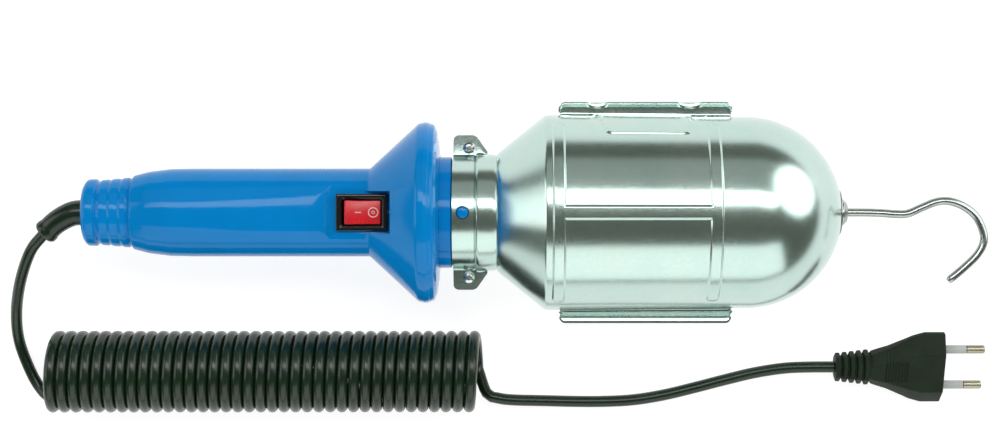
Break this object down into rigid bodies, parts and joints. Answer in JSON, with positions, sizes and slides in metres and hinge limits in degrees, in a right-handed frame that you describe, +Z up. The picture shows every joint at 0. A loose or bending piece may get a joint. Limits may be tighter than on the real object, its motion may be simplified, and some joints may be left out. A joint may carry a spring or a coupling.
{
  "type": "corded inspection lamp",
  "caption": "Hand lamp with a plastic handle, rocker switch, steel reflector, hinged cage guard, swivel hook, screw-in bulb and a curly mains cord with a flat plug.",
  "frame": {"origin": "centre of the lamp's footprint without its cord, on the surface that it lies on", "axes": "+X along the lamp's axis from the handle's tail to the hook, +Z up through the crest of the reflector, +Y towards the guard's hinge"},
  "size_m": [0.4558, 0.1437, 0.0864],
  "materials": {
    "handle": "glossy moulded blue",
    "zinc_sheet": "zinc plated with a green-blue passivation and fine grain",
    "bright_steel": "bright zinc or nickel plating",
    "rubber": "semi-gloss black",
    "black_plastic": "satin black",
    "rocker": "glossy red with pale printed on and off marks",
    "brass": "stamped brass",
    "ceramic": "glazed ceramic",
    "glass": "clear glass",
    "aluminium": "thin rolled cap",
    "tungsten": "coiled wire",
    "pin_sleeve": "grey insulation",
    "brown_wire": "brown insulation",
    "blue_wire": "blue insulation"
  },
  "bodies": {
    "lamp": {"handle": "handle", "flare_cover": "handle", "cable_boot": "rubber", "cord_inner_end": "rubber", "cord_stop_ring": "black_plastic", "wire_line": "brown_wire", "wire_neutral": "blue_wire", "wire_switched": "brown_wire", "switch_housing": "black_plastic", "switch_terminal_line": "brass", "switch_terminal_load": "brass", "lampholder_body": "ceramic", "lampholder_shell": "brass", "lampholder_contact": "brass", "lampholder_screw_a": "bright_steel", "lampholder_screw_b": "bright_steel", "lampholder_terminal_a": "brass", "lampholder_terminal_b": "brass", "reflector_shell": "zinc_sheet", "guard_hinge_pin": "bright_steel", "clamp_screw_a": "bright_steel", "clamp_screw_b": "bright_steel", "end_washer": "zinc_sheet", "hook_bush": "bright_steel", "cord_lead_handle": "rubber", "cord_coil": "rubber", "cord_lead_plug": "rubber", "plug_body": "rubber", "plug_pin_a": "bright_steel", "plug_pin_b": "bright_steel", "plug_sleeve_a": "pin_sleeve", "plug_sleeve_b": "pin_sleeve"},
    "guard": {"front_guard": "zinc_sheet", "clamp_nut_a": "bright_steel", "clamp_nut_b": "bright_steel"},
    "rocker": {"switch_rocker": "rocker", "switch_plunger": "brass"},
    "contact_bridge": {"switch_bridge": "brass"},
    "bulb": {"bulb_glass": "glass", "bulb_cap": "aluminium", "bulb_insulator": "black_plastic", "bulb_tip_contact": "bright_steel", "bulb_stem": "glass", "bulb_lead_a": "bright_steel", "bulb_lead_b": "bright_steel", "bulb_filament": "tungsten"},
    "swivel_hook": {"hook": "bright_steel"}
  },
  "joints": [
    {"name": "guard_hinge", "type": "hinge", "parent": "lamp", "child": "guard", "pos_m": [0, 0.0483, 0.0389], "axis": [1, 0, 0], "range_deg": [0, 110]},
    {"name": "rocker_tilt", "type": "hinge", "parent": "lamp", "child": "rocker", "pos_m": [-0.0783, 0, 0.0573], "axis": [0, -1, 0], "range_deg": [0, 22]},
    {"name": "bridge_tilt", "type": "hinge", "parent": "lamp", "child": "contact_bridge", "pos_m": [-0.0783, 0, 0.0491], "axis": [0, -1, 0], "range_deg": [-8, 0]},
    {"name": "bulb_draw", "type": "slide", "parent": "lamp", "child": "bulb", "axis": [1, 0, 0], "range_m": [0, 0.026]},
    {"name": "hook_swivel", "type": "hinge", "parent": "lamp", "child": "swivel_hook", "pos_m": [0.1342, 0, 0.0411], "axis": [1, 0, 0], "continuous": true}
  ],
  "couplings": [
    {"joint": "bridge_tilt", "follows": "rocker_tilt", "ratio": -0.36364}
  ]
}
